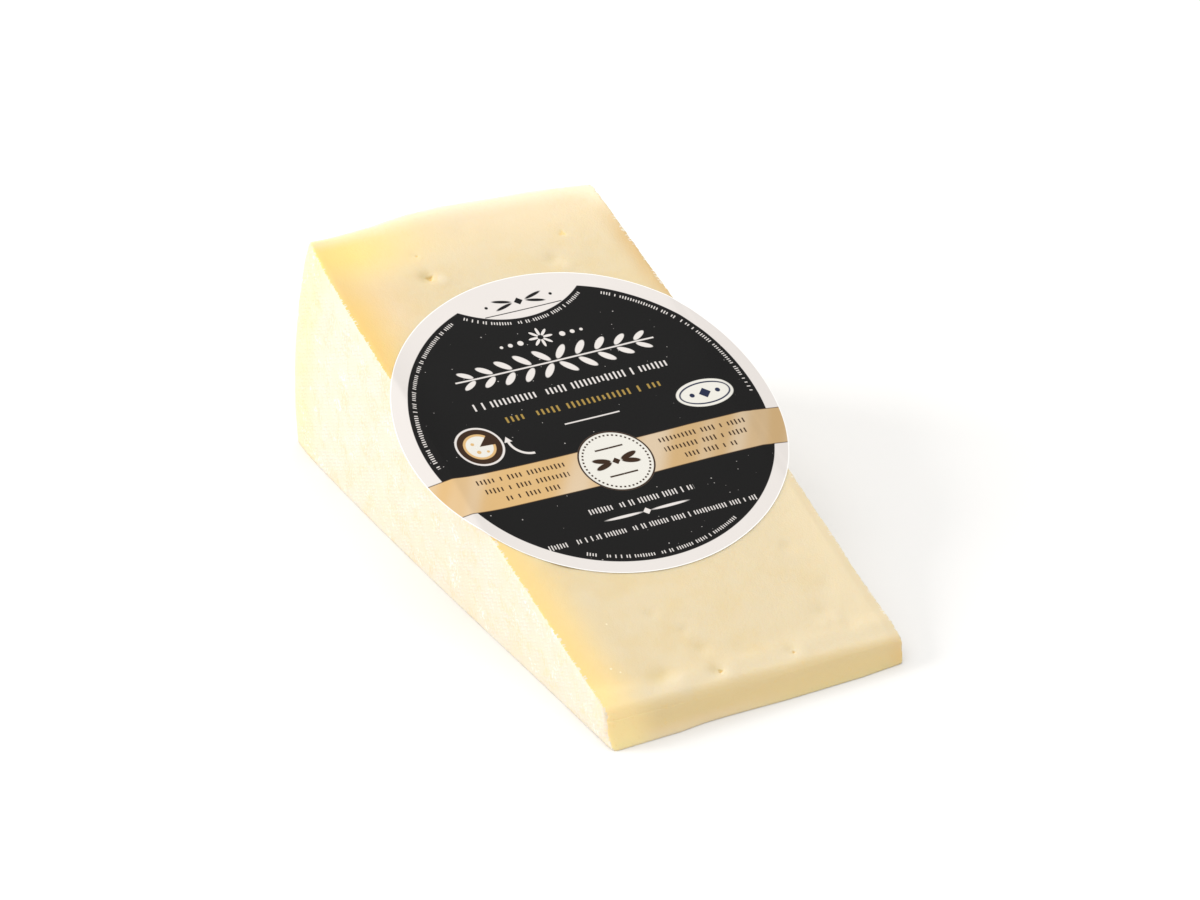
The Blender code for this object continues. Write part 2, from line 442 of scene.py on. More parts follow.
def on_the_top(obj):
    """u and v of each point, and whether it lies on the top face."""
    places = coordinates(obj) - np.array([MIDDLE_X, AXIS_Y, 0])
    return places[:, 0], np.hypot(places[:, 1], places[:, 2]), -(places @ TOP_NORMAL) < 1.6


for u, v, hole, *_ in EYES:
    centre = of_faces(wedge, "center") / MM - np.array([MIDDLE_X, AXIS_Y, 0])
    near = np.hypot(centre[:, 0] - u, np.hypot(centre[:, 1], centre[:, 2]) - v) < 1.6 + hole
    select_only(wedge, "FACE", near & (of_faces(wedge, "normal")[:, 2] > 0.5))
    bpy.ops.mesh.subdivide(number_cuts=3)
    bpy.ops.object.mode_set(mode="OBJECT")

top_u, top_v, top_here = on_the_top(wedge)
sunk = np.zeros(len(top_u))
hollow = np.zeros(len(top_u))
lean = np.zeros(len(top_u))
for number, (u, v, hole, deep, shift_u, shift_v, wide, dent) in enumerate(EYES):
    bearing = np.arctan2(top_v - v, top_u - u)
    uneven = 1 + 0.22 * np.sin(3 * bearing + number) + 0.12 * np.sin(5 * bearing + 2 * number)
    away = np.hypot(top_u - u, top_v - v) / (hole * uneven)
    in_hole = 1 / (1 + away**6)
    sunk += deep * in_hole
    lean += 0.35 * hole * in_hole
    hollow = np.maximum(hollow, in_hole)
    sunk += dent * np.exp(-((top_u - u - shift_u) ** 2 + (top_v - v - shift_v) ** 2) / (wide / 1.6) ** 2)
for u, v, wide, dent in DIMPLES:
    sunk += dent * np.exp(-((top_u - u) ** 2 + (top_v - v) ** 2) / (wide / 1.5) ** 2)
shape = coordinates(wedge)
shape -= (sunk * top_here)[:, None] * TOP_NORMAL
shape += (lean * top_here)[:, None] * np.array([0.7, -0.7, 0])
move_to(wedge, shape)
store(wedge, "hollow", hollow * top_here)
store(wedge, "sunken", sunk * top_here)
print("wedge:", len(wedge.data.polygons), "faces,", round(float(sunk.max()), 2), "mm at the deepest eye")

# %% Cloth coordinates on the walls
places = coordinates(wedge) - np.array([MIDDLE_X, AXIS_Y, 0])
corner_point = np.empty(len(wedge.data.loops), np.int32)
wedge.data.loops.foreach_get("vertex_index", corner_point)
corner_face = np.repeat(
    np.arange(len(wedge.data.polygons)), [p.loop_total for p in wedge.data.polygons]
)
facing = np.abs(of_faces(wedge, "normal")[corner_face])
here = places[corner_point]
round_rim = WHEEL_RADIUS * np.arctan2(here[:, 2], here[:, 1])
cloth = np.where(
    (facing[:, 0] > 0.6)[:, None], here[:, 1:3], np.stack([here[:, 0], round_rim], axis=1)
)
cloth_map = wedge.data.uv_layers.new(name="cloth")
cloth_map.uv.foreach_set("vector", (cloth / 100).ravel())
wedge.data.shade_smooth()
deselect_all()
wedge.select_set(True)
bpy.context.view_layer.objects.active = wedge
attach(wedge, "root")
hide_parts("cheese")

# %% [markdown]
# ## The label
#
# The label is a disc of coated paper. It lies on the slow shape of the top, and because it is wider
# than the wedge its two ends stand out past the edges, each bent down along a soft crease. Paper
# bends but doesn't stretch, so the ends are turned about lines in three small steps. First the disc
# gets rows of cells to bend along, by bisecting it, and its flat coordinates are kept as a UV map
# for the print.

# %% A flat disc with rows of cells
LABEL_RADIUS = 44.45
LABEL_CENTRE = (0.9, 96.7)  # u, v on the top
PRINT_SHIFT = 0.435  # the print sits this much lower on the disc than the die cut it
ROW_STEP = 1.5
CREASE_STEP = 0.45
LEFT_CREASE = -37.2
RIGHT_CREASE = 35.9

deselect_all()
bpy.ops.mesh.primitive_circle_add(vertices=288, radius=LABEL_RADIUS * MM, fill_type="NGON")
label = bpy.context.object
label.name = label.data.name = "paper_label"
bpy.ops.object.mode_set(mode="EDIT")
rows = list(np.arange(-LABEL_RADIUS + ROW_STEP, LABEL_RADIUS, ROW_STEP))
creases = [
    line + CREASE_STEP * step for line in (LEFT_CREASE, RIGHT_CREASE) for step in range(-5, 6)
]
spaced = [row for row in rows if min(abs(row - line) for line in creases) > 0.4]
cuts = [((cut_at, 0, 0), (1, 0, 0)) for cut_at in spaced + creases]
cuts += [((0, cut_at, 0), (0, 1, 0)) for cut_at in rows]
for cut_at, direction in cuts:
    bpy.ops.mesh.select_all(action="SELECT")
    bpy.ops.mesh.bisect(plane_co=Vector(cut_at) * MM, plane_no=direction, threshold=0.001 * MM)
bpy.ops.object.mode_set(mode="OBJECT")

PRINT_SPAN = 100.0  # the UV map's unit square is this many millimetres wide
flat = coordinates(label)
label_corner = np.empty(len(label.data.loops), np.int32)
label.data.loops.foreach_get("vertex_index", label_corner)
print_map = label.data.uv_layers.new(name="label_print")
placed = (flat[label_corner, :2] + np.array([0, PRINT_SHIFT])) / PRINT_SPAN + 0.5
print_map.uv.foreach_set("vector", placed.ravel())
print("label:", len(label.data.polygons), "faces")

# %% Bent over the cheese
LABEL_GAP = 0.04
LEFT_DROOP = math.radians(11.0)
RIGHT_DROOP = math.radians(10.0)

lift = top_relief(flat[:, 0] + LABEL_CENTRE[0], flat[:, 1] + LABEL_CENTRE[1])
flat[:, 2] = lift + LABEL_GAP
move_to(label, flat)


def turn_end(crease, droop, steps=3):
    """Turns the end beyond the crease down, a part of the angle at each of a few close lines."""
    side = math.copysign(1, crease)
    for step in range(steps):
        line = crease + side * CREASE_STEP * step
        here = coordinates(label)
        on_line = np.abs(here[:, 0] - line) < 0.05
        pivot = (line * MM, 0, float(here[on_line, 2].mean()) * MM)
        select_only(label, "VERT", here[:, 0] * side > abs(line) + 0.05)
        bpy.ops.transform.rotate(
            value=-side * droop / steps, orient_axis="Y", orient_type="GLOBAL", center_override=pivot
        )
        bpy.ops.object.mode_set(mode="OBJECT")


turn_end(LEFT_CREASE, LEFT_DROOP)
turn_end(RIGHT_CREASE, RIGHT_DROOP)
ends = coordinates(label)[[flat[:, 0].argmin(), flat[:, 0].argmax()], 2]
print("the label's two ends droop to", ends.round(2), "mm")

# %% Laid on the top and given its thickness
across_axis = Vector((1, 0, TOP_ROLL)).normalized()
top_axis = Vector(TOP_NORMAL)
along_axis = top_axis.cross(across_axis).normalized()
label_middle = Vector((MIDDLE_X, AXIS_Y, 0)) + across_axis * LABEL_CENTRE[0]
label_middle += Vector((0, math.cos(WEDGE_ANGLE), math.sin(WEDGE_ANGLE))) * LABEL_CENTRE[1]
laid = Matrix((across_axis, along_axis, top_axis)).transposed().to_4x4()
label.data.transform(Matrix.Translation(label_middle * MM) @ laid)
paper = label.modifiers.new("paper", "SOLIDIFY")
paper.thickness = 0.10 * MM
paper.offset = 1
deselect_all()
label.select_set(True)
bpy.context.view_layer.objects.active = label
bpy.ops.object.modifier_apply(modifier="paper")
bpy.ops.object.shade_smooth_by_angle(angle=math.radians(40))
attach(label, "root")
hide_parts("label")
print("label:", len(label.data.polygons), "faces")

# %% [markdown]
# ## Materials written as sums
#
# A procedural material is a sum over the place on the surface: a distance, a few masks, some noise.
# Drawn as nodes it soon becomes a web that nobody can read. A small class wraps an output socket, so
# that a sum on sockets is written like a sum on numbers and adds the Math nodes that work it out.

# %% A socket that can stand in a sum
class Signal:
    """An output socket of a node. A sum on it adds the Math nodes that work it out."""

    def __init__(self, socket):
        self.socket = socket

    def node(self, kind, settings=None, sockets=None, output=0):
        """Adds a node to the same material: settings first, then its sockets' values or links."""
        tree = self.socket.id_data
        made = tree.nodes.new("ShaderNode" + kind)
        for name, value in (settings or {}).items():
            setattr(made, name, value)
        for name, value in (sockets or {}).items():
            if isinstance(value, Signal):
                tree.links.new(value.socket, made.inputs[name])
            else:
                made.inputs[name].default_value = value
        return Signal(made.outputs[output])

    def math(self, operation, *values, clamp=False):
        return self.node("Math", {"operation": operation, "use_clamp": clamp}, dict(enumerate(values)))

    def __add__(self, other):
        return self.math("ADD", self, other)

    def __sub__(self, other):
        return self.math("SUBTRACT", self, other)

    def __rsub__(self, other):
        return self.math("SUBTRACT", other, self)

    def __mul__(self, other):
        return self.math("MULTIPLY", self, other)

    def __truediv__(self, other):
        return self.math("DIVIDE", self, other)

    def __abs__(self):
        return self.math("ABSOLUTE", self)

    __radd__ = __add__
    __rmul__ = __mul__

    def between(self, low, high, start=0.0, end=1.0):
        """Goes smoothly from start to end while this goes from low to high."""
        settings = {"interpolation_type": "SMOOTHSTEP"}
        return self.node("MapRange", settings, {0: self, 1: low, 2: high, 3: start, 4: end})

    def blend(self, under, over):
        """A mix of two colours, with this as the share of the second."""
        return self.node("Mix", {"data_type": "RGBA"}, {0: self, 6: under, 7: over}, output=2)

    def grain(self, size, detail=2.0, stretch=(1, 1, 1), seed=0.0):
        """Noise from 0 to 1 on this place, with features of this size in millimetres."""
        mapping = {"Scale": tuple(s / size for s in stretch), "Location": (seed, seed, seed)}
        mapped = self.node("Mapping", None, {"Vector": self, **mapping})
        return self.node("TexNoise", None, {"Vector": mapped, "Scale": 1.0, "Detail": detail})


def screen(red, green, blue):
    """A colour as a screen shows it, 0 to 255, as the light that a shader works with."""
    shares = [value / 255 for value in (red, green, blue)]
    return (*[s / 12.92 if s <= 0.04045 else ((s + 0.055) / 1.055) ** 2.4 for s in shares], 1.0)


def new_material(name):
    """A material, the shader in it, and a Signal to start its sums from."""
    material = bpy.data.materials.new(name)
    material.use_nodes = True
    shader = material.node_tree.nodes["Principled BSDF"]
    start = Signal(material.node_tree.nodes.new("ShaderNodeTexCoord").outputs["Object"])
    return material, shader, start


def connect(signal, shader, name):
    signal.socket.id_data.links.new(signal.socket, shader.inputs[name])


# %% [markdown]
# ## Paste and rind
#
# The paste is firm and a little see-through: light goes in and comes out a few millimetres away, so
# it gets subsurface scattering with a longer way for red than for blue. Its cream colour turns
# yellower towards the rind, where it dried, most of all along the left edge. Light and shade are also
# painted into its colour: a painted highlight towards the rim and on the crest of the front and the
# mounds, painted light on the shaded front face, and painted shade in the dents, which are partly a
# yellower paste too. The rind is pale and dry, with the marks of the cloth that the wheel was turned
# in, their hollows painted darker as shade. One material holds both, because the line between them
# is ragged: white rind fibres reach a little way into the cut face.

# %% Places and depths
cheese, cheese_shader, start = new_material("raclette_paste_and_rind")
place = start.node("VectorMath", {"operation": "SCALE"}, {0: start, "Scale": 1 / MM})
xyz = place.node("SeparateXYZ", None, {"Vector": place})
place_x = xyz
place_y = Signal(xyz.socket.node.outputs["Y"])
place_z = Signal(xyz.socket.node.outputs["Z"])
under_side = start.node("Attribute", {"attribute_name": "under_side"}, output="Fac")
under_rim = start.node("Attribute", {"attribute_name": "under_rim"}, output="Fac")
under = under_side.math("MINIMUM", under_side, under_rim)
eye = start.node("Attribute", {"attribute_name": "hollow"}, output="Fac")

# %% The paste's colour
PASTE = screen(217, 197, 154)
PASTE_PALE = screen(218, 201, 165)
# Painted light for the shaded front: its face, its foot and its bright left end:
PASTE_FRONT_LIT = screen(229, 205, 151)
PASTE_FOOT_LIT = screen(244, 218, 184)
PASTE_SIDELIT_GLOW = screen(255, 228, 165)
PASTE_YELLOW = screen(236, 201, 122)
PASTE_SUNNY = screen(239, 209, 139)
PASTE_ORANGE = screen(222, 168, 88)
PASTE_PEACH = screen(232, 200, 150)
# Paler colours painted towards the rim, a painted highlight where the light from behind falls:
PASTE_BACKLIT_PALE = screen(233, 214, 178)
PASTE_PAINTED_HIGHLIGHT = screen(247, 235, 206)
PASTE_LEMON = screen(243, 214, 124)
PASTE_TAN = screen(210, 178, 124)
PASTE_DENT_SHADE = screen(208, 187, 135)
PASTE_WHITE = screen(224, 208, 174)
PASTE_EYE = screen(242, 208, 130)
broad = place.grain(26, 2, seed=3)
middling = place.grain(5, 3, seed=5)
fine = place.grain(0.9, 2, seed=7)

mottled = (broad * 0.6 + middling * 0.4).between(0.38, 0.62)
paste = mottled.blend(PASTE, PASTE_PALE)
left_part = place_x.between(-18, 6, 1.0, 0.0)
peach = under_side.between(5, 24, 0.6, 0.0) * left_part * place_y.between(15, 45)
paste = peach.blend(paste, PASTE_PEACH)

# %% Paler towards the rim, as a painted highlight where the light from behind falls, and yellower where the paste dried
backlit_near_rim = under_rim.between(0.0, 24.0, 1.0, 0.0)
paste = backlit_near_rim.blend(paste, PASTE_BACKLIT_PALE)
paste = under_rim.between(0.0, 6.0, 0.9, 0.0).blend(paste, PASTE_PAINTED_HIGHLIGHT)
lemon = under_rim.between(0.5, 5.0, 0.35, 1.0) * under_rim.between(7, 20, 1.0, 0.0)
lemon = lemon * place_x.between(-36, 0, 0.9, 0.0)
paste = lemon.blend(paste, PASTE_LEMON)
# The right end of the back gets the same painted highlight.
paste = (under_rim.between(2, 10, 0.8, 0.0) * place_x.between(26, 34)).blend(paste, PASTE_PAINTED_HIGHLIGHT)

# %% The front: a painted highlight on the crest, and painted light on the shaded cut face, its left end and its foot
tip_cut = place_y.between(-73.5, -69.5, 1.0, 0.0)
# The pale band on the crest is a painted highlight.
crest = place_y.between(-69.5, -65.0, 0.9, 0.0)
paste = crest.blend(paste, PASTE_WHITE)
# The shaded front face gets its own lighter colour: painted light that makes up for the light it lacks.
paste = tip_cut.blend(paste, PASTE_FRONT_LIT)
# A paler strip at the front's foot: painted light, as the bright floor gives back.
foot = tip_cut * place_z.between(0.5, 3.0, 0.5, 0.0) * place_x.between(-15, 15, 1.0, 0.0)
paste = foot.blend(paste, PASTE_FOOT_LIT)
# The bright left end of the front is painted light from the left.
paste = (tip_cut * place_x.between(-32, -22, 0.95, 0.0)).blend(paste, PASTE_SIDELIT_GLOW)
paste = (tip_cut * place_x.between(31, 36, 0.0, 0.25)).blend(paste, PASTE_ORANGE)
worn_right = place_x.between(18, 34, 0.0, 0.8) * place_y.between(0, 40, 1.0, 0.0) * (1 - tip_cut)
paste = worn_right.blend(paste, PASTE_WHITE)

# %% Drier and yellower along the two sides
share = left_part * (1 - 0.85 * tip_cut) * under_rim.between(0, 26, 0.0, 1.0) + (1 - left_part) * 0.04
tan = under_side.between(0.5, 6, 1.0, 0.0) * (1 - left_part) * place_y.between(0, 40)
paste = (tan * under_rim.between(6, 20, 0.0, 0.85)).blend(paste, PASTE_TAN)
dry = under_side.between(0.0, 12.5, 1.0, 0.0) * share * (0.85 + 0.3 * middling)
dry_paste = place_y.between(-40, 40).blend(PASTE_SUNNY, PASTE_YELLOW)
# Near the front the dry edge takes the same painted light.
dry_paste = place_y.between(-71, -63, 0.5, 0.0).blend(dry_paste, PASTE_SIDELIT_GLOW)
paste = dry.math("MULTIPLY", dry, 1.0, clamp=True).blend(paste, dry_paste)
specks = fine.between(0.60, 0.72) * (0.10 + 0.10 * tip_cut)
paste = specks.blend(paste, PASTE_YELLOW)
edge_line = under_side.between(0.1, 1.1, 1.0, 0.0) * (0.2 + 0.8 * middling) * share
edge_line = edge_line * place_y.between(-60, 10, 0.25, 0.6)
paste = edge_line.math("MULTIPLY", edge_line, 1.0, clamp=True).blend(paste, PASTE_ORANGE)

# %% Dents, mounds and eyes
sunken = start.node("Attribute", {"attribute_name": "sunken"}, output="Fac")
# Dents are painted darker: partly a yellower paste, partly painted shade in the hollows.
paste = sunken.between(0.04, 0.50, 0.0, 0.7).blend(paste, PASTE_DENT_SHADE)
# Mounds beside the dents are painted paler: a painted highlight on the slopes that face the light.
paste = sunken.between(-0.16, -0.02, 0.85, 0.0).blend(paste, PASTE_WHITE)
# The holes are painted orange-yellow: the paste's own colour in them, made lighter as painted light
# against their shade.
paste = (eye * 0.6).blend(paste, PASTE_EYE)

# %% A few loose crumbs
CRUMB_PALE = screen(250, 240, 215)
CRUMB_BROWN = screen(120, 78, 40)
CRUMBS = (  # x, y, radius, colour: three on the top and one at the front's right foot
    (MIDDLE_X - 27.46, AXIS_Y + 30.72 * math.cos(WEDGE_ANGLE), 0.22, CRUMB_PALE),
    (MIDDLE_X - 25.96, AXIS_Y + 29.27 * math.cos(WEDGE_ANGLE), 0.16, CRUMB_PALE),
    (MIDDLE_X - 22.68, AXIS_Y + 42.29 * math.cos(WEDGE_ANGLE), 0.16, CRUMB_PALE),
    (35.0, -74.8, 0.35, CRUMB_BROWN),
)
plan = place.node("VectorMath", {"operation": "MULTIPLY"}, {0: place, 1: (1, 1, 0)})
for crumb_x, crumb_y, crumb_size, colour in CRUMBS:
    ends = {0: plan, 1: (crumb_x, crumb_y, 0)}
    away = plan.node("VectorMath", {"operation": "DISTANCE"}, ends, "Value")
    paste = away.between(crumb_size * 0.5, crumb_size + 0.15, 0.6, 0.0).blend(paste, colour)

# %% The rind's colour
RIND = screen(230, 220, 207)
RIND_YELLOW = screen(228, 214, 185)
RIND_RIM = screen(230, 214, 172)
RIND_FLECK = screen(240, 237, 228)
weave_map = start.node("UVMap", {"uv_map": "cloth"})
weave = weave_map.node("VectorMath", {"operation": "SCALE"}, {0: weave_map, "Scale": 100})
weave = weave.node("Mapping", None, {"Vector": weave, "Rotation": (0, 0, math.radians(27))})
threads = weave.node("SeparateXYZ", None, {"Vector": weave})
THREAD = (1.5, 0.85)
warp = threads / THREAD[0]
weft = Signal(threads.socket.node.outputs["Y"]) / THREAD[1]
warp_above = warp.math("FLOOR", warp) + weft.math("FLOOR", weft)
warp_above = warp_above.math("PINGPONG", warp_above, 1.0)
warp_ridge = warp.math("PINGPONG", warp, 0.5) * 2
weft_ridge = weft.math("PINGPONG", weft, 0.5) * 2
worn = place.grain(4, 2, seed=11).between(0.35, 0.65, 0.25, 1.0)
cloth_height = (warp_above * warp_ridge + (1 - warp_above) * weft_ridge) * worn
patches = place.grain(9, 3, seed=13)
rind = (patches.between(0.35, 0.7) * 0.35).blend(RIND, RIND_YELLOW)
rind = under_rim.between(8.0, 16.0, 0.9, 0.0).blend(rind, RIND_RIM)
# The weave's hollows are painted yellower and a little darker: painted shade that brings out the cloth's
# print.
rind = ((1 - cloth_height) * 0.6).blend(rind, RIND_YELLOW)
fleck_patches = place.grain(6, 2, seed=29).between(0.55, 0.66)
flecks = fleck_patches * place.grain(0.8, 2, seed=17).between(0.54, 0.60)
rind = (flecks * 0.8).blend(rind, RIND_FLECK)

# %% Where the rind ends
fibre = place.grain(0.45, 1, stretch=(0.22, 1, 0.4), seed=19)
fibre_length = fibre.between(0.48, 0.62, 0.06, 0.90) * middling.between(0.35, 0.6, 0.35, 1.0)
fibre_length = fibre_length * place_y.between(-74, -64, 0.3, 1.0)
is_rind = (fibre_length - under) / 0.10
is_rind = is_rind.math("ADD", is_rind, 0.5, clamp=True)
connect(is_rind.blend(paste, rind), cheese_shader, "Base Color")

# %% Gloss, depth and the finest relief
gloss = 0.44 + 0.14 * fine - 0.10 * dry
connect(gloss * (1 - is_rind) + 0.72 * is_rind, cheese_shader, "Roughness")
skin = (1 - is_rind) * (0.5 * fine + 0.5 * place.grain(0.35, 1, seed=23)) + is_rind * cloth_height
relief = start.node("Bump", None, {"Strength": 0.6, "Distance": 0.12 * MM, "Height": skin})
connect(relief, cheese_shader, "Normal")
cheese_shader.inputs["Subsurface Weight"].default_value = 0.4
cheese_shader.inputs["Subsurface Radius"].default_value = (0.9, 0.7, 0.45)
cheese_shader.inputs["Subsurface Scale"].default_value = 2.6 * MM
cheese_shader.inputs["Specular IOR Level"].default_value = 0.35
wedge.data.materials.append(cheese)
print(cheese.name, "has", len(cheese.node_tree.nodes), "nodes")

# %% [markdown]
# ## The printed label
#
# The label is printed in black, tan, cream and white. Every shape on it is a distance worked out in
# label millimetres from its UV map: below zero is inside. A distance divided by the width of a soft
# edge gives a mask, and each ink is laid over the last with its mask. Rows of small strokes stand
# where a pack carries small print, and a sprig, a rosette, a seal and a cut wheel are the ornaments.

# %% Label millimetres and the basic shapes
PRINT_EDGE = 0.13
label_print, print_shader, print_start = new_material("label_print")
sheet = print_start.node("UVMap", {"uv_map": "label_print"})
sheet = sheet.node("Mapping", {"vector_type": "POINT"}, {"Vector": sheet, "Location": (-0.5, -0.5, 0)})
sheet = sheet.node("VectorMath", {"operation": "SCALE"}, {0: sheet, "Scale": PRINT_SPAN})
sheet_xy = sheet.node("SeparateXYZ", None, {"Vector": sheet})
p = sheet_xy
q = Signal(sheet_xy.socket.node.outputs["Y"])
mirrored = abs(p)


def inside(distance, edge=PRINT_EDGE):
    """1 where a distance is below zero and 0 beyond it, with a narrow soft edge."""
    return distance.math("MULTIPLY_ADD", distance, -1 / edge, 0.5, clamp=True)


def from_point(x, y):
    return sheet.node("VectorMath", {"operation": "DISTANCE"}, {0: sheet, 1: (x, y, 0)}, output="Value")


def disc(x, y, radius):
    return inside(from_point(x, y) - radius)


def ring(x, y, radius, width):
    return inside(abs(from_point(x, y) - radius) - width / 2)


def bar(along, low, high, across, middle, width):
    """A straight bar, from low to high along one direction."""
    long_way = abs(along - (low + high) / 2) - (high - low) / 2
    wide_way = abs(across - middle) - width / 2
    return inside(long_way.math("MAXIMUM", long_way, wide_way))


def ellipse(along, across, x, y, long_radius, short_radius, turn=0.0):
    """A leaf-like oval, turned by this angle."""
    cos, sin = math.cos(turn), math.sin(turn)
    a = (along * cos + across * sin - (x * cos + y * sin)) / long_radius
    b = (across * cos - along * sin - (y * cos - x * sin)) / short_radius
    size = (a * a + b * b).math("SQRT", a * a + b * b)
    return inside((size - 1) * short_radius)


def strokes(along, low, high, across, middle, tall, pitch, seed, gaps=0.16):
    """A row of small upright strokes in groups, as small print looks from afar."""
    cells = along / pitch
    chance = cells.node(
        "TexWhiteNoise", {"noise_dimensions": "1D"}, {"W": cells.math("FLOOR", cells) + seed}
    )
    chance = Signal(chance.socket.node.outputs["Value"])
    stroke = inside((0.30 - cells.math("PINGPONG", cells, 0.5)) * pitch)
    height = abs(across - middle) - tall * (0.32 + 0.18 * chance)
    ends = abs(along - (low + high) / 2) - (high - low) / 2
    shown = chance.math("GREATER_THAN", chance, gaps)
    return stroke * shown * inside(height.math("MAXIMUM", height, ends))


def join(*masks):
    joined = masks[0]
    for mask in masks[1:]:
        joined = joined.math("MAXIMUM", joined, mask)
    return joined


# %% The label's fields
PAPER = screen(218, 212, 207)
BLACK = screen(12, 11, 10)
TAN_LEFT = screen(208, 171, 116)
TAN_RIGHT = screen(188, 157, 112)
BROWN = screen(52, 32, 16)
CREAM = screen(220, 217, 208)
GOLD = screen(160, 132, 66)
NAVY = screen(30, 38, 66)
DISC_RADIUS = 40.85
LENS = (0.0, 55.98, 23.3)
RIBBON_LOW, RIBBON_HIGH = -18.04, -7.62
BADGE = (0.0, -12.44, 8.6)

lens = disc(*LENS)
black = disc(0, 0, DISC_RADIUS) * (1 - lens)
ink = black.blend(PAPER, BLACK)

# %% White and gold ornaments on the black
ARC_RADIUS = 39.4
FINE_PRINT = (1.0, 0.62)  # height and pitch of its strokes
radius_here = from_point(0, 0)
arc = p.math("ARCTAN2", p, q) * ARC_RADIUS
arcs = []
for low, high, seed in ((-96, -26, 1), (29, 93, 2)):
    low_arc, high_arc = math.radians(low) * ARC_RADIUS, math.radians(high) * ARC_RADIUS
    arcs.append(strokes(arc, low_arc, high_arc, radius_here, ARC_RADIUS, *FINE_PRINT, seed))
under_arc = p.math("ARCTAN2", p, q * -1) * ARC_RADIUS
arcs.append(strokes(under_arc, -19.3, 19.3, radius_here, ARC_RADIUS, *FINE_PRINT, 3))
lens_radius = from_point(LENS[0], LENS[1])
lens_arc = p.math("ARCTAN2", p, LENS[1] - q) * 24.6
arcs.append(strokes(lens_arc, -15.5, 15.5, lens_radius, 24.6, *FINE_PRINT, 4))

LEAF_PITCH = 4.8
STEM = 18.5
leaf_place = mirrored.math("WRAP", mirrored, LEAF_PITCH, 0.0)
taper = mirrored.between(6, 26, 1.0, 0.62)
leaves = ellipse(leaf_place, abs(q - STEM) / taper, 2.4, 2.3, 2.3, 0.82, math.radians(48))
leaves = leaves * bar(mirrored, 0, 5 * LEAF_PITCH, q, STEM, 10.0)
stem = bar(mirrored, 0, 24.6, q, STEM, 0.42)

petal_angle = p.math("ARCTAN2", p, q - 26.0) * 8
petals = from_point(0, 26.0) - 1.15 * petal_angle.math("COSINE", petal_angle)
rosette = inside(petals - 1.75) * (1 - disc(0, 26.0, 0.7))
beads = [ellipse(mirrored, q, x, 25.6, size, size) for x, size in ((5.2, 0.7), (7.7, 0.55), (9.9, 0.4))]
flourish = ellipse(mirrored, q, 5.6, -27.6, 4.3, 0.36)
lozenge = inside(mirrored + abs(q + 27.6) - 0.95)

arrow = ring(-16.3, -0.6, 4.4, 0.6) * inside(p + 16.3) * inside(q + 0.6)
head = abs(p + 20.7) + (q - 1.0) * 0.6
arrow = join(arrow, inside(head.math("MAXIMUM", head, -0.6 - q)))

white = join(
    *arcs,
    leaves,
    stem,
    rosette,
    *beads,
    strokes(p, -24.3, 24, q, 10.6, 2.2, 1.05, 5, gaps=0.10),
    bar(p, -6.3, 7.2, q, 0.6, 0.35),
    arrow,
    strokes(p, -13, 13, q, -24.4, 1.7, 0.75, 6),
    flourish,
    lozenge,
    strokes(p, -25.7, 25, q, -31.3, 1.5, 0.68, 7),
)
dust = sheet.grain(0.7, 0, seed=31).between(0.84, 0.87) * 0.5
ink = (join(white, dust) * black).blend(ink, PAPER)
ink = strokes(p, -18.5, 20, q, 5.4, 1.9, 1.25, 8, gaps=0.10).blend(ink, GOLD)
print("white shapes drawn,", len(label_print.node_tree.nodes), "nodes")

# %% A small cut wheel in a ring, and a seal opposite
WHEEL = (-27.5, -0.15)
spoke = p.math("ARCTAN2", p - WHEEL[0], q - WHEEL[1])
missing = inside((abs(spoke - 1.2) - 0.42) * from_point(*WHEEL))
ink = disc(*WHEEL, 5.6).blend(ink, PAPER)
ink = disc(*WHEEL, 5.1).blend(ink, BROWN)
ink = (disc(*WHEEL, 3.7) * (1 - missing)).blend(ink, TAN_LEFT)
ink = (disc(*WHEEL, 3.1) * (1 - missing)).blend(ink, CREAM)
holes = join(disc(-28.8, 0.9, 0.42), disc(-28.3, -1.6, 0.5), disc(-26.2, -1.9, 0.35))
ink = holes.blend(ink, TAN_LEFT)
SEAL_X, SEAL_Y = 28.2, -0.1
ink = ellipse(p, q, SEAL_X, SEAL_Y, 7.0, 3.9).blend(ink, CREAM)
ring_band = ellipse(p, q, SEAL_X, SEAL_Y, 6.3, 3.2) * (1 - ellipse(p, q, SEAL_X, SEAL_Y, 5.9, 2.8))
ink = ring_band.blend(ink, NAVY)
from_seal = abs(p - SEAL_X)
seal_marks = join(
    inside(from_seal + abs(q - SEAL_Y) - 1.5),
    ellipse(from_seal, q, 3.2, SEAL_Y, 0.6, 0.6),
)
ink = seal_marks.blend(ink, NAVY)

# %% The tan band, its rules and the round badge on it
tan = p.between(-34, 34).blend(TAN_LEFT, TAN_RIGHT)
# A painted sheen: lighter diagonal streaks of cream over the tan band, where it catches the light.
painted_sheen = sheet.node("Mapping", None, {"Vector": sheet, "Rotation": (0, 0, 0.6)}).grain(9, 1, (1, 0.1, 1))
tan = (painted_sheen.between(0.4, 0.7) * 0.35).blend(tan, CREAM)
RIBBON_MIDDLE = (RIBBON_LOW + RIBBON_HIGH) / 2
from_middle = abs(q - RIBBON_MIDDLE)
half_ribbon = (RIBBON_HIGH - RIBBON_LOW) / 2
ink = inside(from_middle - half_ribbon).blend(ink, tan)
ink = (inside(abs(from_middle - half_ribbon) - 0.12) * 0.8).blend(ink, BROWN)
ribbon_rows = join(
    strokes(mirrored, 11.2, 33.2, q, -10.0, 1.6, 0.95, 11),
    strokes(mirrored, 11.8, 32.4, q, -12.8, 1.6, 0.95, 12),
    strokes(mirrored, 15.5, 28.5, q, -15.6, 1.6, 0.95, 13),
)
ink = ribbon_rows.blend(ink, BROWN)
ink = disc(*BADGE).blend(ink, CREAM)
